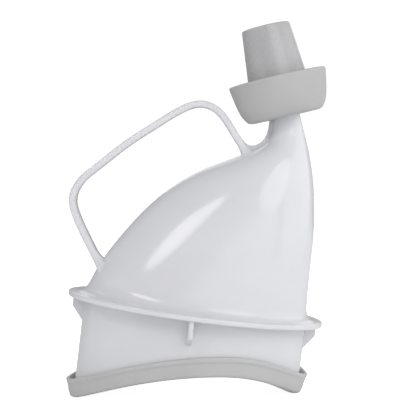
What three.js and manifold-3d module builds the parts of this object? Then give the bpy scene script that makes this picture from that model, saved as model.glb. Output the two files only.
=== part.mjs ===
// Portable urinal of the funnel kind, standing on its saddle-shaped mouth with its neck up.
// One white moulding (funnel, neck, splash flange, gussets, strap handle) carries a grey rubber
// cuff on its mouth and a grey rubber bottle adapter on its neck.
//
// Millimetres, +Z up. +X is the blunt back of the body, -X its sloping spine with the handle.
// The part is its own mirror image in the plane Y = 0. The origin is on the ground it stands
// on, below the middle of its bounding box.

import * as THREE from "three";
import { LoftGeometry } from "three/addons/geometries/LoftGeometry.js";
import { mergeVertices } from "three/addons/utils/BufferGeometryUtils.js";
import Module from "manifold-3d";

const wasm = await Module();
wasm.setup();

// ---------------------------------------------------------------- driving dimensions

const GAP = 0.3; // left between neighbouring solids
const WALL = 2.2; // of the funnel and its neck

// Neck axis: it leans towards the spine. Heights along it are counted from the skirt's rim.
const NECK_LEAN = THREE.MathUtils.degToRad(12.2);
const RIM_CENTRE = { x: 53, z: 200.4 };
const NECK_RADIUS = 9.1;
const NECK_TOP = -3;
const NECK_FOOT = -26.4; // where the neck turns into the funnel

// Side view of the funnel's outer skin, (x, z), from the neck's foot down to the flange plane.
const SPINE = [
  [48.6, 165.3], [44.2, 158.3], [36.5, 154.4], [22, 149], [6, 143],
  [-12, 133.4], [-28, 121.4], [-43, 106.4], [-56, 91], [-65, 77.6],
];
const BACK = [
  [70.2, 164.5], [72.9, 151.5], [75, 136], [75.8, 118], [75, 99], [73, 80], [71, 62],
];
// Half-widths (along Y) of the sections at equal steps from the neck's foot to the flange, and
// how egg-shaped they are: 0 is an ellipse, more gives a narrower spine and a fuller back.
const HALF_WIDTHS = [NECK_RADIUS, 14.2, 21, 25.6, 29.2, 32.2, 34.7, 36.9, 38.8, 40.3, 41.5];
const EGG = [0, 0.14, 0.24, 0.24, 0.2, 0.14];

// Splash flange: an oval plate in a plane that slopes down towards the back.
const FLANGE = {
  centre: { x: -0.6, z: 55.2 },
  slope: THREE.MathUtils.degToRad(8.25),
  length: 163,
  width: 106,
  thickness: 2.2,
  rimWidth: 2.4, // of the turned-down rim
  rimDrop: 1, // below the plate
  filletRadius: 4,
};
const FUNNEL_LENGTH_AT_FLANGE = 142.2;

// Mouth: the wall's lower edge, an oval in plan that follows a saddle along X.
const MOUTH = { centreX: -7.5, length: 143.6, width: 84 };
const SADDLE = { apexX: 8, rise: 17.7, left: 84, leftPower: 1.9, right: 55.5, rightPower: 2.4 };

// Cuff: a U-shaped rubber channel pushed on the mouth's edge. Its outer leg flares at both ends.
const CUFF = {
  height: 12.4,
  web: 4, // between the ground and the wall's edge
  leg: 2.2,
  innerHeight: 9,
  bead: 0.5,
  beadHeight: 3,
  spineFlare: 2.8,
  backFlare: 2.2,
};

// Gussets: small tapered plates that brace the flange from below. The edge is the height of
// their outer side.
const GUSSET_THICKNESS = 3;
const END_GUSSET = { reach: 7, drop: 17.8, edge: 8 };
const SIDE_GUSSET = { reach: 8.6, drop: 18.4, edge: 12, offset: -0.4 };

// Strap handle: its centreline in the plane Y = 0, (x, z), from the spine's foot to its shoulder.
const HANDLE_THICKNESS = 4.3;
const HANDLE_WIDTH = 14;
const HANDLE_LINE = [
  [-57, 74.5], [-68.2, 98], [-75.9, 115.9], [-77.5, 124], [-73.6, 134.8], [-62, 145.1],
  [-45.1, 158], [-23.4, 171.8], [-7, 181.2], [1.5, 184], [10.5, 182.9], [17.5, 177.6],
  [25.7, 165], [30.5, 157.5], [36, 147],
];
// Fin that carries the handle's upper root round a notch and up the neck.
const FIN_THICKNESS = 4;
const FIN_DEPTH = 6;
const FIN_LINE = [
  [30.6, 162], [33, 159], [36.9, 157.6], [42.9, 160.1], [46.6, 166], [47.9, 173.2],
];

// Bottle adapter, turned about the neck axis. Radii against heights from the skirt's rim.
const SLEEVE = { tipRadius: 15.4, tipHeight: 32.7, footRadius: 20.9, footHeight: -22.3, wall: 2.2 };
const SKIRT = { radius: 31.2, height: 25.4, wall: 2.3, floor: 2.8, hubRadius: 11.9, hubTop: -5 };

// How finely round shapes are divided.
const RING_STEPS = 40;
const UPPER_STEPS = 16;
const LOWER_STEPS = 3;
const CUFF_STEPS = 60;
const LATHE_STEPS = 36;
const HANDLE_STEPS = 44;
const FIN_STEPS = 10;

// ---------------------------------------------------------------- materials

const plastic = new THREE.MeshStandardMaterial({ color: 0xd9dade, roughness: 0.25 });
const rubber = new THREE.MeshStandardMaterial({ color: 0xb2b2b4, roughness: 0.6 });

// ---------------------------------------------------------------- helpers

const group = new THREE.Group();

function addMesh(name, geometry, material, parent = group) {
  const mesh = new THREE.Mesh(geometry, material);
  mesh.name = name;
  parent.add(mesh);
  return mesh;
}

/** A three.js geometry as a manifold solid. */
function toSolid(geometry) {
  const bare = new THREE.BufferGeometry();
  bare.setAttribute("position", geometry.attributes.position);
  bare.setIndex(geometry.index);
  const merged = mergeVertices(bare, 1e-4);
  return new wasm.Manifold(new wasm.Mesh({
    numProp: 3,
    vertProperties: merged.attributes.position.array,
    triVerts: new Uint32Array(merged.index.array),
  }));
}

/** A manifold solid as a three.js geometry. */
function toGeometry(solid) {
  const mesh = solid.getMesh();
  const geometry = new THREE.BufferGeometry();
  geometry.setAttribute("position", new THREE.BufferAttribute(mesh.vertProperties, 3));
  geometry.setIndex(new THREE.BufferAttribute(mesh.triVerts, 1));
  geometry.computeVertexNormals();
  return geometry;
}

/** A smooth function of 0..1 through values at equal steps. */
function smoothValues(values) {
  const last = values.length - 1;
  const curve = new THREE.SplineCurve(values.map((value, i) => new THREE.Vector2(i / last, value)));
  return (t) => curve.getPoint(t).y;
}

/** A smooth curve in the plane Y = 0 through [x, z] pairs. */
function sideCurve(pairs) {
  return new THREE.SplineCurve(pairs.map(([x, z]) => new THREE.Vector2(x, z)));
}

/** Extrudes a closed outline of (x, z) points to both sides of the plane Y = 0. */
function plateGeometry(outline, width, bevel = 0) {
  const geometry = new THREE.ExtrudeGeometry(new THREE.Shape(outline), {
    depth: width - 2 * bevel,
    bevelEnabled: bevel > 0,
    bevelThickness: bevel,
    bevelSize: bevel,
    bevelOffset: -bevel,
    bevelSegments: 2,
  });
  geometry.rotateX(Math.PI / 2);
  geometry.translate(0, width / 2 - bevel, 0);
  return geometry;
}

/** Turns a closed outline of (radius, height) pairs about +Z. */
function latheGeometry(outline) {
  const points = [...outline, outline[0]].map(([r, h]) => new THREE.Vector2(r, h));
  const geometry = new THREE.LatheGeometry(points, LATHE_STEPS);
  geometry.rotateX(Math.PI / 2);
  return geometry;
}

/** Moves a shape turned about +Z on to the neck axis. */
function placedOnNeck(geometry) {
  geometry.rotateY(-NECK_LEAN);
  geometry.translate(RIM_CENTRE.x, 0, RIM_CENTRE.z);
  return geometry;
}

// ---------------------------------------------------------------- shape of the funnel

const neckDirection = new THREE.Vector2(-Math.sin(NECK_LEAN), Math.cos(NECK_LEAN));
const neckAcross = new THREE.Vector2(Math.cos(NECK_LEAN), Math.sin(NECK_LEAN));

/** A point (x, z) of the plane Y = 0, given by its place along and across the neck axis. */
function neckPoint(along, across) {
  return new THREE.Vector2(RIM_CENTRE.x, RIM_CENTRE.z)
    .addScaledVector(neckDirection, along)
    .addScaledVector(neckAcross, across);
}

const flangeAcross = new THREE.Vector2(Math.cos(FLANGE.slope), -Math.sin(FLANGE.slope));
const flangeNormal = new THREE.Vector2(Math.sin(FLANGE.slope), Math.cos(FLANGE.slope));

/** A point (x, z) of the plane Y = 0, given by its place along the flange and above it. */
function flangePoint(across, above) {
  return new THREE.Vector2(FLANGE.centre.x, FLANGE.centre.z)
    .addScaledVector(flangeAcross, across)
    .addScaledVector(flangeNormal, above);
}

/** The profile from the neck's foot, through points of its own, to the flange plane. */
function funnelProfile(side, pairs) {
  const top = neckPoint(NECK_FOOT, side * NECK_RADIUS);
  const foot = flangePoint((side * FUNNEL_LENGTH_AT_FLANGE) / 2, 0);
  return sideCurve([[top.x, top.y], ...pairs, [foot.x, foot.y]]);
}

const spine = funnelProfile(-1, SPINE);
const back = funnelProfile(1, BACK);
const halfWidth = smoothValues(HALF_WIDTHS);
const eggShape = smoothValues(EGG);

/** Height of the ground side of the cuff, a saddle along X. */
function saddleHeight(x) {
  const fromApex = x - SADDLE.apexX;
  const [reach, power] = fromApex < 0
    ? [SADDLE.left, SADDLE.leftPower]
    : [SADDLE.right, SADDLE.rightPower];
  return SADDLE.rise * (1 - Math.abs(fromApex / reach) ** power);
}

const endEgg = EGG[EGG.length - 1];

/** A point of the wall's lower edge. */
function mouthPoint(angle) {
  const x = MOUTH.centreX + (MOUTH.length / 2) * Math.cos(angle);
  const y = (MOUTH.width / 2) * Math.sin(angle) * (1 + endEgg * Math.cos(angle));
  return new THREE.Vector3(x, y, saddleHeight(x) + CUFF.web + GAP);
}

/** A point of the outer skin: level 0 is the neck's foot, 1 the flange and 2 the mouth's edge. */
function skinPoint(level, angle) {
  if (level > 1) {
    return skinPoint(1, angle).lerp(mouthPoint(angle), level - 1);
  }
  const left = spine.getPointAt(level);
  const right = back.getPointAt(level);
  const across = right.clone().sub(left).multiplyScalar(Math.cos(angle) / 2);
  const centre = left.add(right).multiplyScalar(0.5).add(across);
  const y = halfWidth(level) * Math.sin(angle) * (1 + eggShape(level) * Math.cos(angle));
  return new THREE.Vector3(centre.x, y, centre.y);
}

/** The skin's outward direction. */
function skinNormal(level, angle) {
  const step = 0.01;
  const above = skinPoint(Math.max(level - step, 0), angle);
  const below = skinPoint(Math.min(level + step, 2), angle);
  const before = skinPoint(level, angle - step);
  const after = skinPoint(level, angle + step);
  return below.sub(above).cross(after.sub(before)).normalize();
}

/** One ring of the skin, moved outwards by offset. */
function skinRing(level, offset) {
  const ring = [];
  for (let i = 0; i < RING_STEPS; i++) {
    const angle = (2 * Math.PI * i) / RING_STEPS;
    ring.push(skinPoint(level, angle).addScaledVector(skinNormal(level, angle), offset));
  }
  return ring;
}

/** The levels of the rings, from the neck down to the mouth, closer together at the shoulder. */
const LEVELS = [];
for (let i = 0; i <= UPPER_STEPS; i++) {
  LEVELS.push((i / UPPER_STEPS) ** 1.5);
}
for (let i = 1; i <= LOWER_STEPS; i++) {
  LEVELS.push(1 + i / LOWER_STEPS);
}

function funnelShell() {
  const outside = LEVELS.map((level) => skinRing(level, 0));
  const inside = LEVELS.map((level) => skinRing(level, -WALL)).reverse();
  const rings = [...outside, ...inside, outside[0]];
  return new LoftGeometry(rings.map((ring) => [...ring].reverse()));
}

/** The whole space inside the funnel's skin, a little larger, to trim what joins the skin. */
function skinSolid() {
  const rings = LEVELS.map((level) => skinRing(level, GAP).reverse());
  return toSolid(new LoftGeometry(rings, { capStart: true, capEnd: true }));
}

const skin = skinSolid();

function trimmed(geometry) {
  return toGeometry(toSolid(geometry).subtract(skin));
}

/** The neck above the funnel: a plain tube whose bore opens into the funnel. */
function neckSpout() {
  const foot = NECK_FOOT + GAP;
  const chamfer = 0.6;
  const bore = NECK_RADIUS - WALL;
  return latheGeometry([
    [bore, foot], [NECK_RADIUS, foot], [NECK_RADIUS, NECK_TOP - chamfer],
    [NECK_RADIUS - chamfer, NECK_TOP], [bore, NECK_TOP],
  ]);
}

// ---------------------------------------------------------------- what stands on the funnel

/** The flange: a ring round the funnel, from the skin out to the oval rim. */
function splashFlange() {
  const sections = [];
  for (let i = 0; i <= RING_STEPS; i++) {
    const angle = (-2 * Math.PI * i) / RING_STEPS;
    const inner = skinPoint(1, angle);
    const reach = flangePoint((FLANGE.length / 2) * Math.cos(angle), 0);
    const outer = new THREE.Vector3(reach.x, (FLANGE.width / 2) * Math.sin(angle), reach.y);
    const width = outer.distanceTo(inner);
    const outwards = outer.clone().sub(inner).normalize();
    const upwards = new THREE.Vector3(flangeNormal.x, 0, flangeNormal.y);
    const climb = skinPoint(0.96, angle).sub(inner);
    const wallSlope = climb.dot(outwards) / climb.dot(upwards);
    sections.push(flangeOutline(width, wallSlope).map(([out, up]) => inner.clone()
      .addScaledVector(outwards, out)
      .addScaledVector(upwards, up)));
  }
  return trimmed(new LoftGeometry(sections));
}

/** Its section (outwards, up): a fillet on the wall, a flat plate and a turned-down rim. The
 * points inside the wall only make sure that trimming leaves no gap. */
function flangeOutline(width, wallSlope) {
  const half = FLANGE.thickness / 2;
  const fillet = FLANGE.filletRadius;
  const low = -half - FLANGE.rimDrop;
  const inner = width - FLANGE.rimWidth;
  const top = half + fillet;
  const round = 0.6;
  const insideWall = 3;
  return [
    [-insideWall, -half], [inner, -half], [inner, low], [width - round, low], [width, low + round],
    [width, half - round], [width - round, half],
    [fillet, half], [fillet * 0.3, half + fillet * 0.3],
    [wallSlope * top, top], [wallSlope * top - insideWall, top],
  ];
}

/** A gusset's outline on the side (outwards, up) of the wall it braces. */
function gussetOutline(wall, { reach, drop, edge }) {
  const top = -FLANGE.thickness / 2 - GAP;
  const end = wall + reach;
  const root = wall - 4; // inside the wall, trimmed off later
  return [
    [root, top], [end, top], [end, top - edge], [wall, top - drop], [root, top - drop],
  ];
}

/** The gusset at the spine (side -1) or at the back (side 1), in the plane Y = 0. */
function endGusset(side) {
  const outline = gussetOutline(FUNNEL_LENGTH_AT_FLANGE / 2, END_GUSSET)
    .map(([out, up]) => flangePoint(side * out, up));
  return trimmed(plateGeometry(outline, GUSSET_THICKNESS));
}

/** The gusset on the front (side -1) or on the rear (side 1) of the funnel. */
function sideGusset(side) {
  const wall = skinPoint(1, Math.PI / 2).y;
  const outline = gussetOutline(wall, SIDE_GUSSET).map(([out, up]) => new THREE.Vector2(out, up));
  const geometry = plateGeometry(outline, GUSSET_THICKNESS);
  geometry.rotateZ((side * Math.PI) / 2);
  geometry.rotateY(FLANGE.slope);
  const foot = flangePoint(SIDE_GUSSET.offset, 0);
  geometry.translate(foot.x, 0, foot.y);
  return trimmed(geometry);
}

/** The outline of a strip along a curve of the plane Y = 0, inside and outside of it. */
function stripOutline(curve, inside, outside, steps) {
  const near = [];
  const far = [];
  for (let i = 0; i <= steps; i++) {
    const point = curve.getPointAt(i / steps);
    const tangent = curve.getTangentAt(i / steps);
    const normal = new THREE.Vector2(-tangent.y, tangent.x);
    near.push(point.clone().addScaledVector(normal, outside));
    far.push(point.clone().addScaledVector(normal, -inside));
  }
  return [...near, ...far.reverse()];
}

/** The strap and the fin beside its upper root, which follows the notch and the neck. */
function carryHandle() {
  const half = HANDLE_THICKNESS / 2;
  const strapOutline = stripOutline(sideCurve(HANDLE_LINE), half, half, HANDLE_STEPS);
  const strap = toSolid(plateGeometry(strapOutline, HANDLE_WIDTH, 1));
  const finOutline = stripOutline(sideCurve(FIN_LINE), FIN_DEPTH, 0, FIN_STEPS);
  const fin = toSolid(plateGeometry(finOutline, FIN_THICKNESS));
  const neckRoom = toSolid(placedOnNeck(latheGeometry([
    [0, NECK_FOOT - 1], [NECK_RADIUS + GAP, NECK_FOOT - 1],
    [NECK_RADIUS + GAP, NECK_TOP], [0, NECK_TOP],
  ])));
  return toGeometry(strap.add(fin).subtract(skin).subtract(neckRoom));
}

// ---------------------------------------------------------------- mouth cuff

/** The cuff's section at an angle round the mouth: (out from the wall's skin, up). */
function cuffOutline(angle) {
  const endFlare = Math.cos(angle) < 0 ? CUFF.spineFlare : CUFF.backFlare;
  const flare = endFlare * Math.cos(angle) ** 4;
  const outer = (height) => GAP + CUFF.leg + (flare * height) / CUFF.height;
  const inner = (height) => Math.max(outer(height) - CUFF.leg, GAP);
  const insideFace = -WALL - GAP;
  const insideSkin = insideFace - CUFF.leg;
  const step = CUFF.height - CUFF.beadHeight;
  return [
    [insideSkin, 3], [insideSkin + 0.6, 0.9], [insideSkin + 2.4, 0], [outer(0) - 2.4, 0],
    [outer(0) - 0.6, 0.9], [outer(3), 3], [outer(step), step],
    [outer(step) + CUFF.bead, step + 0.6], [outer(CUFF.height) + CUFF.bead, CUFF.height - 0.5],
    [outer(CUFF.height), CUFF.height], [inner(CUFF.height), CUFF.height],
    [inner(CUFF.web), CUFF.web], [insideFace, CUFF.web], [insideFace, CUFF.innerHeight],
    [insideSkin, CUFF.innerHeight],
  ];
}

/** The cuff follows the wall's lower edge and is pressed flat where it meets the ground. */
function mouthCuff() {
  const sections = [];
  for (let i = 0; i <= CUFF_STEPS; i++) {
    const angle = (-2 * Math.PI * i) / CUFF_STEPS;
    const edge = mouthPoint(angle);
    const upwards = skinPoint(1, angle).sub(edge);
    upwards.divideScalar(upwards.z);
    const along = mouthPoint(angle + 0.01).sub(mouthPoint(angle - 0.01));
    const outwards = new THREE.Vector3(along.y, -along.x, 0).normalize();
    sections.push(cuffOutline(angle).map(([out, up]) => {
      const point = edge.clone()
        .addScaledVector(upwards, up - CUFF.web - GAP)
        .addScaledVector(outwards, out);
      point.z = Math.max(point.z, 0);
      return point;
    }));
  }
  return new LoftGeometry(sections);
}

// ---------------------------------------------------------------- bottle adapter

/** The tapered sleeve that a bottle's neck goes into, open at both ends. */
function adapterSleeve() {
  const { tipRadius, tipHeight, footRadius, footHeight, wall } = SLEEVE;
  const round = 0.7;
  return latheGeometry([
    [footRadius - wall, footHeight], [footRadius, footHeight],
    [tipRadius, tipHeight - round], [tipRadius - round, tipHeight],
    [tipRadius - wall, tipHeight],
  ]);
}

/** The bowl round the sleeve, with the hub inside that grips the funnel's neck. */
function adapterSkirt() {
  const { radius, height, wall, floor, hubRadius, hubTop } = SKIRT;
  const bore = NECK_RADIUS + GAP;
  const outside = [
    [radius * 0.68, -height], [radius * 0.775, -height * 0.96], [radius * 0.85, -height * 0.82],
    [radius * 0.93, -height * 0.53], [radius * 0.98, -height * 0.2], [radius, -1],
  ];
  const rim = [[radius - 0.6, 0], [radius - wall + 0.6, 0]];
  const inside = [
    [radius * 0.98 - wall, -height * 0.2], [radius * 0.93 - wall, -height * 0.53],
    [radius * 0.85 - wall, -height * 0.76], [radius * 0.7, floor - height],
  ];
  const hub = [[hubRadius, floor - height], [hubRadius, hubTop], [bore, hubTop], [bore, -height]];
  return latheGeometry([...outside, ...rim, ...inside, ...hub]);
}

// ---------------------------------------------------------------- assembly

addMesh("funnel_shell", funnelShell(), plastic);
addMesh("splash_flange", splashFlange(), plastic);
addMesh("gusset_spine", endGusset(-1), plastic);
addMesh("gusset_back", endGusset(1), plastic);
addMesh("gusset_front", sideGusset(-1), plastic);
addMesh("gusset_rear", sideGusset(1), plastic);
addMesh("mouth_cuff", mouthCuff(), rubber);

addMesh("carry_handle", carryHandle(), plastic);

// Everything that is round about the neck axis hangs in one turned group.
const neckGroup = new THREE.Group();
neckGroup.position.set(RIM_CENTRE.x, 0, RIM_CENTRE.z);
neckGroup.rotation.y = -NECK_LEAN;
group.add(neckGroup);
addMesh("neck_spout", neckSpout(), plastic, neckGroup);
addMesh("adapter_skirt", adapterSkirt(), rubber, neckGroup);
addMesh("adapter_sleeve", adapterSleeve(), rubber, neckGroup);

export default group;
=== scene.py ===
import math

import bmesh
import bpy
import numpy as np
from mathutils import Matrix, Vector
from mathutils.bvhtree import BVHTree


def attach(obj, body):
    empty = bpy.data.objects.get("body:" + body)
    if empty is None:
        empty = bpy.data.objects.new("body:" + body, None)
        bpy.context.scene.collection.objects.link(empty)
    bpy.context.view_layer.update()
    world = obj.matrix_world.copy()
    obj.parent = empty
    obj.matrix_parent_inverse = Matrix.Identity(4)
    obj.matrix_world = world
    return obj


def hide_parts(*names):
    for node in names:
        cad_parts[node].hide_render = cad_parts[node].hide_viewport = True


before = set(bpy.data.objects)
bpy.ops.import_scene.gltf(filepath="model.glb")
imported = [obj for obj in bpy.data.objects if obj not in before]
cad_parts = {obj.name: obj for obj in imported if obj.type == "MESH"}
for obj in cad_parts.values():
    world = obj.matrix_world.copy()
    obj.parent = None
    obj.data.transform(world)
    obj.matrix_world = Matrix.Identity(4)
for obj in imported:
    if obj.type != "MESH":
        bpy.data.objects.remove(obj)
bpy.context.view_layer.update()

# Portable urinal of the funnel kind: one glossy white moulding with a strap handle, a grey
# rubber cuff on its saddle-shaped mouth and a grey rubber bottle adapter on its neck.
# Shapes are made in millimetres in the frame of the CAD model and stored in metres.

MM = 0.001

# ---------------------------------------------------------------- driving dimensions, mm

WALL = 2.2
FIT_GAP = 0.3  # between the wall and the cuff

NECK_LEAN = math.radians(12.2)
RIM_CENTRE = np.array([53.0, 0.0, 200.4])
NECK_RADIUS = 9.1
NECK_TOP = -3.0
NECK_FOOT = -26.4

# Side view of the funnel's skin, (x, z), between the neck's foot and the flange plane.
SPINE = [
    (48.6, 165.3), (44.2, 158.3), (36.5, 154.4), (22, 149), (6, 143),
    (-12, 133.4), (-28, 121.4), (-43, 106.4), (-56, 91), (-65, 77.6),
]
BACK = [
    (70.2, 164.5), (72.9, 151.5), (75, 136), (75.8, 118), (75, 99), (73, 80), (71, 62),
]
# Half-widths at equal steps down those two lines, and how much fuller the back is than the spine.
HALF_WIDTHS = [NECK_RADIUS, 14.2, 21, 25.6, 29.2, 32.2, 34.7, 36.9, 38.8, 40.3, 41.5]
EGG = [0, 0.14, 0.24, 0.24, 0.2, 0.14]

FLANGE_CENTRE = np.array([-0.6, 0.0, 55.2])
FLANGE_SLOPE = math.radians(8.25)
FLANGE_LENGTH = 163.0
FLANGE_WIDTH = 106.0
FLANGE_HALF = 1.1  # half the plate's thickness
FLANGE_LIP = 1.0  # how far the rim is turned down below the plate
FLANGE_RIM = 2.4  # thickness of the turned-down rim
FLANGE_ROUNDS = (1.0, 0.7, 0.4)  # the rim's radii: top, bottom and inner edge
FLANGE_FILLET = (9.5, 6.8)  # up the wall and out along the plate
UNDER_FILLET = 2.2
FUNNEL_LENGTH_AT_FLANGE = 142.2

MOUTH_CENTRE_X = -7.5
MOUTH_LENGTH = 143.6
MOUTH_WIDTH = 84.0
SADDLE_APEX_X = 8.0
SADDLE_RISE = 17.7
SADDLE_LEFT = (84.0, 1.9)  # reach, power
SADDLE_RIGHT = (55.5, 2.4)

CUFF_HEIGHT = 12.4
CUFF_WEB = 4.0
CUFF_LEG = 2.2
CUFF_INNER_HEIGHT = 9.0
CUFF_BEAD = 0.5
CUFF_BEAD_HEIGHT = 3.0
CUFF_FLARES = (2.8, 2.2)  # at the spine and at the back

HANDLE_THICKNESS = 4.3
HANDLE_WIDTH = 14.0
HANDLE_CORNER = 1.2
HANDLE_LINE = [
    (-57, 74.5), (-68.2, 98), (-75.9, 115.9), (-77.5, 124), (-73.6, 134.8), (-62, 145.1),
    (-45.1, 158), (-23.4, 171.8), (-7, 181.2), (1.5, 184), (10.5, 182.9), (17.5, 177.6),
    (25.7, 165), (30.5, 157.5), (36, 147),
]
HANDLE_SPAN = (0.13, 0.9)  # the stretch of the line, as shares, that is clear of the fillets
HANDLE_FILLETS = (9.5, 7.5)  # at the foot and at the shoulder
FIN_HALF = 2.0
FIN_FILLET = 2.2
FIN_LINE = [(30.6, 162), (33, 159), (36.9, 157.6), (42.9, 160.1), (46.6, 166), (47.9, 173.2)]

ROOT_EDGE = 0.12  # how far the edge of a fillet ends under the skin
ROOT_DEPTH = 1.1  # how far a root goes on into the wall

GUSSET_HALF = 1.5
GUSSET_CHAMFER = 0.35
END_GUSSET = (7.0, 17.8, 8.0)  # reach, drop, height of the outer edge
SIDE_GUSSET = (9.4, 18.4, 12.0)
SIDE_GUSSET_X = -0.4  # from the flange's middle

SLEEVE_TIP = (15.4, 32.7)  # radius, height from the skirt's rim
SLEEVE_FOOT = (20.9, -22.3)
SLEEVE_WALL = 2.2
SKIRT_RADIUS = 31.2
SKIRT_HEIGHT = 25.4
SKIRT_WALL = 2.3
SKIRT_FLOOR = 2.8
HUB_RADIUS = 11.9
HUB_TOP = -5.0
HUB_BORE = 9.4

AROUND = 192  # points round the funnel and the cuff
TURNED = 128  # points round the adapter

LIGHT_AIM = (10, 0, 110)  # the middle of the object

Y_AXIS = np.array([0.0, 1.0, 0.0])

# ---------------------------------------------------------------- curves


class Spline:
    """A smooth curve through points, with an even speed along its length."""

    def __init__(self, points):
        points = np.array(points, float)
        chords = np.linalg.norm(np.diff(points, axis=0), axis=1)
        knots = np.concatenate([[0], np.cumsum(chords)])
        at = np.linspace(0, knots[-1], 4001)
        samples = natural_spline(knots, points, at)
        steps = np.linalg.norm(np.diff(samples, axis=0), axis=1)
        lengths = np.concatenate([[0], np.cumsum(steps)])
        self.length = lengths[-1]
        self.parameter = lambda t: np.interp(np.asarray(t) * self.length, lengths, at)
        self.knots = knots
        self.points = points

    def __call__(self, t):
        return natural_spline(self.knots, self.points, self.parameter(t))


def natural_spline(knots, values, at):
    """Natural cubic spline through values at the knots, evaluated at other places."""
    values = np.asarray(values, float)
    count = len(knots)
    gaps = np.diff(knots)
    slopes = np.diff(values, axis=0) / gaps.reshape(-1, *[1] * (values.ndim - 1))
    matrix = np.eye(count)
    right = np.zeros_like(values)
    for i in range(1, count - 1):
        matrix[i, i - 1:i + 2] = gaps[i - 1], 2 * (gaps[i - 1] + gaps[i]), gaps[i]
        right[i] = 6 * (slopes[i] - slopes[i - 1])
    bends = np.linalg.solve(matrix, right)
    at = np.asarray(at, float)
    span = np.clip(np.searchsorted(knots, at, side="right") - 1, 0, count - 2)
    shape = at.shape + (1,) * (values.ndim - 1)
    gap = gaps[span].reshape(shape)
    before = (knots[span + 1] - at).reshape(shape)
    after = (at - knots[span]).reshape(shape)
    return (
        (bends[span] * before ** 3 + bends[span + 1] * after ** 3) / (6 * gap)
        + (values[span] / gap - bends[span] * gap / 6) * before
        + (values[span + 1] / gap - bends[span + 1] * gap / 6) * after
    )


def even_values(values):
    """A smooth function of 0..1 through values at equal steps."""
    knots = np.linspace(0, 1, len(values))
    return lambda t: natural_spline(knots, values, t)


def arc(centre, radius, start, end, steps=5):
    """Points (u, v) on a circle, from one angle to another, in degrees."""
    angles = np.radians(np.linspace(start, end, steps))
    return [(centre[0] + radius * math.cos(a), centre[1] + radius * math.sin(a)) for a in angles]


def bezier(start, corner, end, steps):
    """Rows of points inside a rounded corner, ends left out."""
    ts = np.linspace(0, 1, steps + 2)[1:-1]
    return [(1 - t) ** 2 * start + 2 * t * (1 - t) * corner + t ** 2 * end for t in ts]


def unit(vectors):
    return vectors / np.linalg.norm(vectors, axis=-1, keepdims=True)


# ---------------------------------------------------------------- shape of the funnel

neck_along = np.array([-math.sin(NECK_LEAN), 0, math.cos(NECK_LEAN)])
neck_across = np.array([math.cos(NECK_LEAN), 0, math.sin(NECK_LEAN)])
flange_across = np.array([math.cos(FLANGE_SLOPE), 0, -math.sin(FLANGE_SLOPE)])
flange_up = np.array([math.sin(FLANGE_SLOPE), 0, math.cos(FLANGE_SLOPE)])


def neck_ring(along, radius, angles):
    """A circle about the neck axis."""
    circle = np.outer(np.cos(angles), neck_across) + np.outer(np.sin(angles), Y_AXIS)
    return RIM_CENTRE + along * neck_along + radius * circle


def side_profile(side, pairs):
    """One outline of the side view, from the neck's foot to the flange plane."""
    top = RIM_CENTRE + NECK_FOOT * neck_along + side * NECK_RADIUS * neck_across
    foot = FLANGE_CENTRE + side * FUNNEL_LENGTH_AT_FLANGE / 2 * flange_across
    return Spline([(top[0], top[2]), *pairs, (foot[0], foot[2])])


spine = side_profile(-1, SPINE)
back = side_profile(1, BACK)
half_width = even_values(HALF_WIDTHS)
egg = even_values(EGG)


def saddle_height(x):
    """Height of the ground side of the cuff above the ground."""
    offset = x - SADDLE_APEX_X
    left, right = SADDLE_LEFT, SADDLE_RIGHT
    reach = np.where(offset < 0, left[0], right[0])
    power = np.where(offset < 0, left[1], right[1])
    return SADDLE_RISE * (1 - np.abs(offset / reach) ** power)


def mouth_points(angles):
    """The wall's lower edge."""
    x = MOUTH_CENTRE_X + MOUTH_LENGTH / 2 * np.cos(angles)
    y = MOUTH_WIDTH / 2 * np.sin(angles) * (1 + EGG[-1] * np.cos(angles))
    return np.stack([x, y, saddle_height(x) + CUFF_WEB + FIT_GAP], axis=-1)


def skin_points(levels, angles):
    """The outer skin. Level 0 is the neck's foot, 1 the flange plane and 2 the mouth's edge."""
    levels, angles = np.broadcast_arrays(levels, angles)
    upper = np.clip(levels, 0, 1)
    left, right = spine(upper), back(upper)
    middle = (left + right) / 2 + (right - left) / 2 * np.cos(angles)[..., None]
    y = half_width(upper) * np.sin(angles) * (1 + egg(upper) * np.cos(angles))
    points = np.stack([middle[..., 0], y, middle[..., 1]], axis=-1)
    lower = np.clip(levels - 1, 0, 1)[..., None]
    return points * (1 - lower) + mouth_points(angles) * lower


def skin_normals(levels, angles):
    """Outward normals, taken on one side of the fold at the flange plane."""
    step = 0.004
    levels, angles = np.broadcast_arrays(levels, angles)
    side = np.where(levels > 1, 1, 0)
    low = np.clip(levels - step, side, 2)
    high = np.clip(levels + step, 0, side + 1)
    down = skin_points(high, angles) - skin_points(low, angles)
    round_ = skin_points(levels, angles + step) - skin_points(levels, angles - step)
    return unit(np.cross(down, round_))


# ---------------------------------------------------------------- meshes


def grid_faces(rows, columns, closed_rows=False):
    """Quads of a grid whose columns close on themselves, and whose rows may."""
    faces = []
    for i in range(rows if closed_rows else rows - 1):
        for j in range(columns):
            a, b = i * columns, (i + 1) % rows * columns
            k = (j + 1) % columns
            faces.append((a + j, a + k, b + k, b + j))
    return faces


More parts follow.
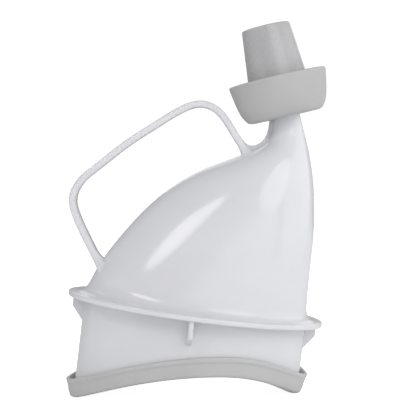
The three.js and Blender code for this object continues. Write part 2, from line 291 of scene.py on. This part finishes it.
class Shape:
    """Collects points in mm and faces of one or more closed shells."""

    def __init__(self):
        self.points = []
        self.faces = []

    def add(self, points, faces):
        start = len(self.points)
        self.points.extend(np.asarray(points, float).reshape(-1, 3).tolist())
        self.faces.extend(tuple(start + i for i in face) for face in faces)

    def add_rows(self, rows, closed=False):
        """A shell through rows of points, which is capped unless it closes on itself."""
        rows = np.asarray(rows)
        count, columns = rows.shape[:2]
        faces = grid_faces(count, columns, closed)
        if not closed:
            faces.append(tuple(range(columns))[::-1])
            last = (count - 1) * columns
            faces.append(tuple(range(last, last + columns)))
        self.add(rows, faces)

    def object(self, name):
        mesh = bpy.data.meshes.new(name)
        mesh.from_pydata([tuple(c * MM for c in p) for p in self.points], [], self.faces)
        tidy = bmesh.new()
        tidy.from_mesh(mesh)
        bmesh.ops.recalc_face_normals(tidy, faces=tidy.faces)
        tidy.to_mesh(mesh)
        tidy.free()
        mesh.polygons.foreach_set("use_smooth", [True] * len(mesh.polygons))
        mesh.set_sharp_from_angle(angle=math.radians(50))
        thing = bpy.data.objects.new(name, mesh)
        bpy.context.scene.collection.objects.link(thing)
        return thing


def ring_angles(count):
    return np.linspace(0, 2 * math.pi, count, endpoint=False)


# ---------------------------------------------------------------- the white moulding


def flange_rows(angles):
    """The flange from the wall above it, out round the rim and back to the wall below it."""
    wall = skin_points(1.0, angles)
    reach = FLANGE_CENTRE + np.outer(FLANGE_LENGTH / 2 * np.cos(angles), flange_across)
    rim = reach + np.outer(FLANGE_WIDTH / 2 * np.sin(angles), Y_AXIS)
    width = np.linalg.norm(rim - wall, axis=1)
    out = unit(rim - wall)
    # the wall above, one fillet length from the corner
    probe = 0.03
    above = skin_points(1 - probe, angles) - wall
    start_level = 1 - probe * FLANGE_FILLET[0] / np.linalg.norm(above, axis=1)
    start = skin_points(start_level, angles)
    climb = unit(above)
    corner = wall + climb * (FLANGE_HALF / (climb @ flange_up))[:, None]
    top_start = corner + out * FLANGE_FILLET[1]
    rows = bezier(start, corner, top_start, 9) + [top_start]
    # the turned-down rim
    inner = wall + out * (width - FLANGE_RIM)[:, None]
    low = -FLANGE_HALF - FLANGE_LIP
    top_round, low_round, edge_round = FLANGE_ROUNDS
    section = arc((FLANGE_RIM - top_round, FLANGE_HALF - top_round), top_round, 90, 0)
    section += arc((FLANGE_RIM - low_round, low + low_round), low_round, 0, -90)
    section += arc((edge_round, low + edge_round), edge_round, -90, -180, 4)
    section += [(0, -FLANGE_HALF), (-1, -FLANGE_HALF)]
    for u, v in section:
        rows.append(inner + out * u + flange_up * v)
    # back along the underside
    fall = unit(skin_points(1.05, angles) - wall)
    corner = wall + fall * (FLANGE_HALF / -(fall @ flange_up))[:, None]
    under_start = corner + out * UNDER_FILLET
    end = corner + fall * UNDER_FILLET
    rows += [under_start] + bezier(under_start, corner, end, 4) + [end]
    return start_level, rows


def funnel(shape):
    """Neck, funnel, flange and lower wall in one closed skin, with the cavity inside it."""
    angles = ring_angles(AROUND)
    chamfer = 0.5
    rows = [neck_ring(NECK_TOP, NECK_RADIUS - chamfer, angles)]
    for along in np.linspace(NECK_TOP - chamfer, NECK_FOOT, 8)[:-1]:
        rows.append(neck_ring(along, NECK_RADIUS, angles))
    start_level, flange = flange_rows(angles)
    steps = 90
    for i in range(steps + 1):
        rows.append(skin_points(start_level * (i / steps), angles))
    rows += flange
    for level in np.linspace(1.08, 1.98, 10):
        rows.append(skin_points(level, angles))
    rows.append(skin_points(2.0, angles) - skin_normals(2.0, angles) * 0.5)
    for level in np.concatenate([np.linspace(2.0, 1.02, 10), np.linspace(0.98, 0.0, 60)]):
        rows.append(skin_points(level, angles) - skin_normals(level, angles) * WALL)
    for along in np.linspace(NECK_FOOT, NECK_TOP, 6)[1:]:
        rows.append(neck_ring(along, NECK_RADIUS - WALL, angles))
    shape.add_rows(rows, closed=True)


class Skin:
    """The outer skin as a surface that handle roots are fitted to."""

    def __init__(self):
        angles = ring_angles(AROUND)
        rows = [neck_ring(along, NECK_RADIUS, angles) for along in (0, -10, -20)]
        rows += [skin_points(level, angles) for level in np.linspace(0, 1, 90)]
        points = np.array(rows).reshape(-1, 3)
        self.tree = BVHTree.FromPolygons(points.tolist(), grid_faces(len(rows), AROUND))
        self.middle = Vector((10, 0, 100))

    def hit(self, point, direction):
        """Where a ray meets the skin, the skin's normal there and how far away it is."""
        place, normal, _, distance = self.tree.ray_cast(Vector(point), Vector(direction))
        return np.array(place), self.outwards(place, normal), distance

    def outwards(self, place, normal):
        return np.array(normal if normal.dot(place - self.middle) > 0 else -normal)

    def sink(self, point, depth):
        """The nearest point of the skin, moved into the wall."""
        place, normal, _, _ = self.tree.find_nearest(Vector(point))
        return np.array(place) - self.outwards(place, normal) * depth


def rounded_box(half_u, half_v, radius, steps=6):
    """Points round a rectangle with round corners."""
    points = []
    for su, sv, start in ((1, 1, 0), (-1, 1, 90), (-1, -1, 180), (1, -1, 270)):
        centre = (su * (half_u - radius), sv * (half_v - radius))
        points += arc(centre, radius, start, start + 90, steps)
    return points


def strap_ring(line, t):
    """Centre, direction and points of the strap's section at t."""
    step = 0.002
    x, z = line(t)
    ahead, behind = line(min(t + step, 1)), line(max(t - step, 0))
    direction = unit(np.array([ahead[0] - behind[0], 0, ahead[1] - behind[1]]))
    side = np.cross(Y_AXIS, direction)
    section = rounded_box(HANDLE_THICKNESS / 2, HANDLE_WIDTH / 2, HANDLE_CORNER)
    centre = np.array([x, 0, z])
    return direction, centre, [centre + side * u + Y_AXIS * v for u, v in section]


def root_rows(skin, ring, centre, direction, radius):
    """Rows that carry the end of a bar down on to the skin and spread it there in a fillet."""
    starts, corners, ends = [], [], []
    for point in ring:
        place, normal, distance = skin.hit(point, direction)
        spread = point - centre
        spread = unit(spread - normal * (spread @ normal))
        size = min(radius, distance * 0.95)
        starts.append(place - direction * size)
        corners.append(place)
        ends.append(skin.sink(place + spread * size, ROOT_EDGE))
    starts, corners, ends = np.array(starts), np.array(corners), np.array(ends)
    rows = [starts] + bezier(starts, corners, ends, 7) + [ends]
    hub = ends.mean(axis=0)
    for share in (0.98, 0.7, 0.4, 0.12):
        rows.append(np.array([skin.sink(hub + (p - hub) * share, ROOT_DEPTH) for p in ends]))
    return rows


def strap(shape, skin):
    """The handle: a flat strap with a fillet at each root."""
    line = Spline(HANDLE_LINE)
    first, last = HANDLE_SPAN
    rows = []
    for t in np.linspace(first, last, 110):
        rows.append(strap_ring(line, t)[2])
    direction, centre, ring = strap_ring(line, first)
    foot = root_rows(skin, ring, centre, -direction, HANDLE_FILLETS[0])
    direction, centre, ring = strap_ring(line, last)
    shoulder = root_rows(skin, ring, centre, direction, HANDLE_FILLETS[1])
    shape.add_rows(foot[::-1] + rows + shoulder)


def fin(shape, skin):
    """The web that carries the strap's upper root round the notch and up the neck."""
    line = Spline(FIN_LINE)
    top = arc((0, 0), 1, 180, 0, 7)
    rows = []
    for t in np.linspace(0, 1, 40):
        x, z = line(t)
        edge = np.array([x, 0, z])
        outward = unit(edge - skin.sink(edge, 0))
        left, right = [], []
        for sign, side in ((-1, left), (1, right)):
            start = edge + sign * FIN_HALF * Y_AXIS
            place = skin.sink(start, 0)
            size = min(FIN_FILLET, max(0.3, np.linalg.norm(place - start) - 0.6))
            up = place + outward * size
            end = skin.sink(place + sign * Y_AXIS * size, ROOT_EDGE)
            deep = skin.sink(place, ROOT_DEPTH)
            side += [deep, end] + bezier(end, place, up, 4) + [up]
        crown = [edge - outward + FIN_HALF * Y_AXIS * u + outward * v for u, v in top]
        rows.append(left + crown + right[::-1])
    shape.add_rows(rows)


def gusset(shape, angle, reach, drop, edge, along):
    """A tapered plate under the flange; along is the direction of its thickness."""
    wall = skin_points(1.0, angle)
    foot = skin_points(1 + drop / np.linalg.norm(skin_points(2.0, angle) - wall), angle)
    inward = -skin_normals(1.5, angle) * 1.2
    out = unit(skin_normals(1.5, angle) - flange_up * (skin_normals(1.5, angle) @ flange_up))
    top = -FLANGE_HALF * 0.5 * flange_up
    low = -(FLANGE_HALF + edge) * flange_up
    tip = wall + out * reach
    outline = [wall + inward + top, tip + top, tip + low, foot, foot + inward]
    rows = []
    for offset, inset in ((-1, GUSSET_CHAMFER), (-0.72, 0), (0.72, 0), (1, GUSSET_CHAMFER)):
        centre = np.mean(outline, axis=0)
        pulled = [p + unit(centre - p) * inset for p in outline]
        rows.append([p + along * GUSSET_HALF * offset for p in pulled])
    shape.add_rows(rows)


def body_moulding():
    """Funnel, handle, fin and gussets, which are one moulding."""
    shape = Shape()
    skin = Skin()
    funnel(shape)
    strap(shape, skin)
    fin(shape, skin)
    gusset(shape, 0.0, *END_GUSSET, Y_AXIS)
    gusset(shape, math.pi, *END_GUSSET, Y_AXIS)
    side = math.acos(SIDE_GUSSET_X / (FUNNEL_LENGTH_AT_FLANGE / 2))
    gusset(shape, side, *SIDE_GUSSET, flange_across)
    gusset(shape, -side, *SIDE_GUSSET, flange_across)
    body = shape.object("body_moulding")
    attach(body, "urinal")
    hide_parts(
        "funnel_shell", "neck_spout", "splash_flange", "carry_handle",
        "gusset_spine", "gusset_back", "gusset_front", "gusset_rear",
    )
    return body


# ---------------------------------------------------------------- the cuff


def cuff_section(flare):
    """The cuff's closed section: (out from the wall's skin, up from the ground side)."""
    lean = flare / CUFF_HEIGHT
    outer = FIT_GAP + CUFF_LEG
    inside = -WALL - FIT_GAP
    inner_skin = inside - CUFF_LEG
    corner = 2.3
    step = CUFF_HEIGHT - CUFF_BEAD_HEIGHT
    lip = 0.8
    points = arc((inner_skin + corner, corner), corner, 180, 270, 7)
    points += arc((outer - corner, corner), corner, 270, 360, 7)
    points += [(outer + lean * h, h) for h in (4, 6, 8)]
    points += [(outer + lean * step, step - 0.9), (outer + lean * step + 0.12, step - 0.3)]
    points += arc((outer + lean * step + CUFF_BEAD - 0.5, step + 0.7), 0.5, -50, 0, 4)
    points += arc((outer + flare + CUFF_BEAD - lip, CUFF_HEIGHT - lip), lip, 0, 90, 5)
    lip_inner = max(outer + flare - CUFF_LEG * 0.75, FIT_GAP)
    points += arc((lip_inner + 0.3, CUFF_HEIGHT - 0.3), 0.3, 90, 180, 3)
    points += [(max(lip_inner * 0.7, FIT_GAP), 8), (FIT_GAP, CUFF_WEB + 1), (FIT_GAP, CUFF_WEB)]
    points += [(inside, CUFF_WEB), (inside, CUFF_INNER_HEIGHT - 1)]
    points += arc((inside - 1.1, CUFF_INNER_HEIGHT - 1.1), 1.1, 0, 180, 7)
    return points


def mouth_cuff():
    """The channel on the mouth's edge, flared at its two ends and flat where it stands."""
    angles = ring_angles(AROUND)
    edges = mouth_points(angles)
    upwards = skin_points(1.0, angles) - edges
    upwards /= upwards[:, 2:]
    step = 0.01
    along = mouth_points(angles + step) - mouth_points(angles - step)
    outwards = unit(np.stack([along[:, 1], -along[:, 0], np.zeros(AROUND)], axis=1))
    flares = np.where(np.cos(angles) < 0, *CUFF_FLARES) * np.cos(angles) ** 4
    sections = np.array([cuff_section(flare) for flare in flares])
    rise = sections[..., 1:] - CUFF_WEB - FIT_GAP
    points = edges[:, None] + upwards[:, None] * rise + outwards[:, None] * sections[..., :1]
    points[..., 2] = np.maximum(points[..., 2], 0)
    shape = Shape()
    shape.add_rows(points, closed=True)
    cuff = shape.object("cuff")
    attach(cuff, "urinal")
    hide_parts("mouth_cuff")
    return cuff


# ---------------------------------------------------------------- the bottle adapter


def turned(name, outline, node):
    """A piece turned about the neck axis from a closed outline of (radius, height)."""
    angles = ring_angles(TURNED)
    shape = Shape()
    shape.add_rows([neck_ring(height, radius, angles) for radius, height in outline], closed=True)
    piece = shape.object(name)
    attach(piece, "adapter")
    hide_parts(node)
    return piece


def sleeve():
    """The tapered tube that goes over a bottle's neck, with a rounded tip."""
    (tip_r, tip_h), (foot_r, foot_h), wall = SLEEVE_TIP, SLEEVE_FOOT, SLEEVE_WALL
    outline = [(foot_r - wall, foot_h), (foot_r, foot_h)]
    slope = (foot_r - tip_r) / (tip_h - foot_h)
    for height in np.linspace(foot_h + 2, tip_h - 3, 16):
        outline.append((tip_r + slope * (tip_h - height), height))
    outer_round, inner_round = 0.9, 0.45
    outline += arc((tip_r - 0.85, tip_h - outer_round), outer_round, 6, 90, 6)
    inner_centre = (tip_r - wall + inner_round, tip_h - inner_round)
    outline += arc(inner_centre, inner_round, 90, 174, 4)
    for height in np.linspace(tip_h - 3, foot_h + 2, 12):
        outline.append((tip_r - wall + slope * (tip_h - height), height))
    return turned("bottle_sleeve", outline, "adapter_sleeve")


def skirt():
    """The bowl, rounded at the rim and full at the foot, with the hub that grips the neck."""
    radius, height, wall = SKIRT_RADIUS, SKIRT_HEIGHT, SKIRT_WALL
    side = Spline([
        (radius * 0.775, -height * 0.965), (radius * 0.85, -height * 0.83),
        (radius * 0.93, -height * 0.53), (radius * 0.98, -height * 0.2), (radius, -1.1),
    ])
    outer = [tuple(side(t)) for t in np.linspace(0, 1, 20)]
    outline = [(HUB_BORE, -height), (HUB_BORE + 6, -height), (radius * 0.7, -height)]
    outline += outer + arc((radius - 1.0, -1.0), 1.0, 0, 90, 5)
    outline += arc((radius - wall + 0.9, -0.9), 0.9, 90, 180, 5)
    outline += [(r - wall, h) for r, h in outer[::-1] if h > -height * 0.8]
    outline += [(radius * 0.7, SKIRT_FLOOR - height), (HUB_RADIUS + 1, SKIRT_FLOOR - height)]
    outline += [(HUB_RADIUS, SKIRT_FLOOR - height + 1), (HUB_RADIUS, HUB_TOP - 0.6)]
    outline += [(HUB_RADIUS - 0.6, HUB_TOP), (HUB_BORE + 0.5, HUB_TOP), (HUB_BORE, HUB_TOP - 0.5)]
    return turned("adapter_bowl", outline, "adapter_skirt")


# ---------------------------------------------------------------- materials


class Nodes:
    """Short names for building a material's node tree."""

    def __init__(self, name):
        self.material = bpy.data.materials.new(name)
        self.material.use_nodes = True
        self.tree = self.material.node_tree
        self.shader = self.tree.nodes["Principled BSDF"]
        self.place = self.add("ShaderNodeTexCoord").outputs["Object"]

    def add(self, kind, **inputs):
        node = self.tree.nodes.new(kind)
        for key, value in inputs.items():
            node.inputs[key.replace("_", " ")].default_value = value
        return node

    def link(self, output, target):
        self.tree.links.new(output, target)

    def noise(self, scale, detail=4.0, stretch=(1, 1, 1)):
        mapping = self.add("ShaderNodeMapping", Scale=stretch)
        self.link(self.place, mapping.inputs["Vector"])
        noise = self.add("ShaderNodeTexNoise", Scale=scale, Detail=detail)
        self.link(mapping.outputs["Vector"], noise.inputs["Vector"])
        return noise.outputs["Fac"]

    def ramp(self, fac, low, high, colours):
        ramp = self.add("ShaderNodeValToRGB")
        self.link(fac, ramp.inputs["Fac"])
        for element, place, colour in zip(ramp.color_ramp.elements, (low, high), colours):
            element.position = place
            element.color = (*colour, 1)
        return ramp.outputs["Color"]

    def span(self, fac, low, high, to_low, to_high):
        node = self.add("ShaderNodeMapRange")
        values = (low, high, to_low, to_high)
        for key, value in zip(("From Min", "From Max", "To Min", "To Max"), values):
            node.inputs[key].default_value = value
        self.link(fac, node.inputs["Value"])
        return node.outputs["Result"]

    def multiply(self, first, second):
        node = self.add("ShaderNodeMix")
        node.data_type = "RGBA"
        node.blend_type = "MULTIPLY"
        node.inputs["Factor"].default_value = 1
        self.link(first, node.inputs[6])
        self.link(second, node.inputs[7])
        return node.outputs[2]

    def bump(self, height, strength, distance, under=None):
        node = self.add("ShaderNodeBump", Strength=strength, Distance=distance)
        self.link(height, node.inputs["Height"])
        if under is not None:
            self.link(under, node.inputs["Normal"])
        return node.outputs["Normal"]

    def edge_wear_and_hollow_shade(self, light, dark):
        """Edges a little lighter, as wear, and hollows a little darker, as painted shade."""
        geometry = self.add("ShaderNodeNewGeometry")
        # painted shade: the dark end of this ramp falls in concave hollows and creases
        return self.ramp(geometry.outputs["Pointiness"], 0.44, 0.56, (dark, light))


def white_plastic():
    """Injection-moulded polypropylene: glossy, with faint flow marks, fine scuffs and painted shade
    in its hollows.
    """
    n = Nodes("glossy_white_plastic")
    flow_colours = ((0.738, 0.741, 0.77), (0.768, 0.771, 0.8))
    flow = n.ramp(n.noise(14, 3, (1, 1, 2.5)), 0.3, 0.7, flow_colours)
    # painted shade: hollows up to 4% darker by pointiness
    edge = n.edge_wear_and_hollow_shade((1, 1, 1), (0.96, 0.96, 0.965))
    n.link(n.multiply(flow, edge), n.shader.inputs["Base Color"])
    scuffs = n.noise(60, 5)
    n.link(n.span(scuffs, 0.3, 0.75, 0.08, 0.16), n.shader.inputs["Roughness"])
    ripple = n.bump(n.noise(38, 2), 0.06, 0.0006)
    n.link(n.bump(n.noise(900, 3), 0.02, 0.0001, ripple), n.shader.inputs["Normal"])
    n.shader.inputs["IOR"].default_value = 1.49
    return n.material


def rubber(name, dark, light, roughness, grain):
    """Soft moulded rubber: fine grain, cloudy tone, slightly polished edges and painted shade in its
    hollows.
    """
    n = Nodes(name)
    cloud = n.ramp(n.noise(32, 5), 0.3, 0.7, (dark, light))
    # painted shade: hollows up to 10% darker by pointiness, with edges left at the rubber's own tone
    edge = n.edge_wear_and_hollow_shade((1, 1, 1), (0.9, 0.9, 0.9))
    n.link(n.multiply(cloud, edge), n.shader.inputs["Base Color"])
    n.link(n.span(n.noise(120, 4), 0.3, 0.7, *roughness), n.shader.inputs["Roughness"])
    pores = n.bump(n.noise(1500, 2), grain, 0.0002)
    n.link(n.bump(n.noise(45, 3), 0.06, 0.0006, pores), n.shader.inputs["Normal"])
    n.shader.inputs["IOR"].default_value = 1.5
    return n.material


def cover(piece, material):
    piece.data.materials.clear()
    piece.data.materials.append(material)


# ---------------------------------------------------------------- stage, light and camera


def floor():
    """A pale floor that the camera sees as plain white."""
    size = 3.0
    mesh = bpy.data.meshes.new("floor")
    low = -0.3 * MM  # just below the cuff's pads, so that the two faces don't coincide
    corners = [(-size, -size, low), (size, -size, low), (size, size, low), (-size, size, low)]
    mesh.from_pydata(corners, [], [(0, 1, 2, 3)])
    plane = bpy.data.objects.new("floor", mesh)
    bpy.context.scene.collection.objects.link(plane)
    n = Nodes("pale_floor")
    n.link(n.ramp(n.noise(3, 2), 0.3, 0.7, ((0.9, 0.9, 0.9), (0.94, 0.94, 0.94))),
           n.shader.inputs["Base Color"])
    n.shader.inputs["Roughness"].default_value = 0.9
    n.shader.inputs["Emission Color"].default_value = (1, 1, 1, 1)
    seen = n.add("ShaderNodeLightPath").outputs["Is Camera Ray"]
    n.link(n.span(seen, 0, 1, 0.0, 0.9), n.shader.inputs["Emission Strength"])
    cover(plane, n.material)


def look_at(thing, place, target, roll=0.0):
    """Puts a camera or light at a place and aims it, both in mm."""
    place, target = Vector(place) * MM, Vector(target) * MM
    turn = (target - place).to_track_quat("-Z", "Y").to_matrix().to_4x4()
    thing.matrix_world = Matrix.Translation(place) @ turn @ Matrix.Rotation(roll, 4, "Z")


def softbox(name, azimuth, elevation, size, turn, radiance, distance=900):
    """An oval soft light aimed at the middle of the object.

    Azimuth 0 is straight in front and grows to the right. Its size is two angles that it
    fills as the object sees it. All angles are in degrees.
    """
    light = bpy.data.lights.new(name, "AREA")
    light.shape = "ELLIPSE"
    light.size, light.size_y = (2 * distance * MM * math.tan(math.radians(a / 2)) for a in size)
    light.energy = radiance * math.pi * light.size * light.size_y * math.pi / 4
    thing = bpy.data.objects.new(name, light)
    bpy.context.scene.collection.objects.link(thing)
    azimuth, elevation = math.radians(azimuth), math.radians(elevation)
    level = distance * math.cos(elevation)
    place = (
        LIGHT_AIM[0] + level * math.sin(azimuth),
        LIGHT_AIM[1] - level * math.cos(azimuth),
        LIGHT_AIM[2] + distance * math.sin(elevation),
    )
    look_at(thing, place, LIGHT_AIM, math.radians(turn))


def studio():
    """White surroundings, dimmer as a light than the camera sees them, and seven soft lights."""
    world = bpy.data.worlds.new("studio")
    world.use_nodes = True
    sky = world.node_tree.nodes["Background"]
    sky.inputs["Color"].default_value = (1, 1, 1, 1)
    seen = world.node_tree.nodes.new("ShaderNodeLightPath").outputs["Is Camera Ray"]
    strength = world.node_tree.nodes.new("ShaderNodeMapRange")
    strength.inputs["To Min"].default_value = 0.33
    strength.inputs["To Max"].default_value = 1.05
    world.node_tree.links.new(seen, strength.inputs["Value"])
    world.node_tree.links.new(strength.outputs["Result"], sky.inputs["Strength"])
    bpy.context.scene.world = world
    softbox("key_right", 27, 31, (42, 32), -25, 2.35)
    softbox("key_left", -43, 34.5, (24, 13), 52, 5)
    softbox("rim_left", -114, 45, (7, 14), 0, 4)
    softbox("fill_right", 86, 12, (80, 60), 0, 1.05)
    softbox("fill_front", 10, 0, (60, 40), 0, 0.86)
    softbox("fill_left", -72, 0, (64, 44), 0, 0.75)
    softbox("fill_back", 170, 30, (60, 50), 0, 0.8)


def camera():
    """A long lens in front of the near side and a little above its middle."""
    data = bpy.data.cameras.new("camera")
    data.sensor_width = 36.0
    data.lens = 99.2
    data.clip_start = 0.01
    thing = bpy.data.objects.new("camera", data)
    bpy.context.scene.collection.objects.link(thing)
    look_at(thing, (8.26, -729.1, 155.1), (8.26, 0, 118.2), math.radians(-0.77))
    bpy.context.scene.camera = thing


# ---------------------------------------------------------------- assembly

cover(body_moulding(), white_plastic())
cover(mouth_cuff(), rubber("cuff_grey", (0.53, 0.53, 0.535), (0.58, 0.58, 0.585), (0.45, 0.58), 0.1))
cover(skirt(), rubber("bowl_grey", (0.475, 0.475, 0.478), (0.525, 0.525, 0.528), (0.55, 0.7), 0.12))
cover(sleeve(), rubber("sleeve_grey", (0.46, 0.46, 0.47), (0.51, 0.51, 0.52), (0.24, 0.31), 0.06))

floor()
studio()
camera()
bpy.context.scene.view_settings.view_transform = "Standard"
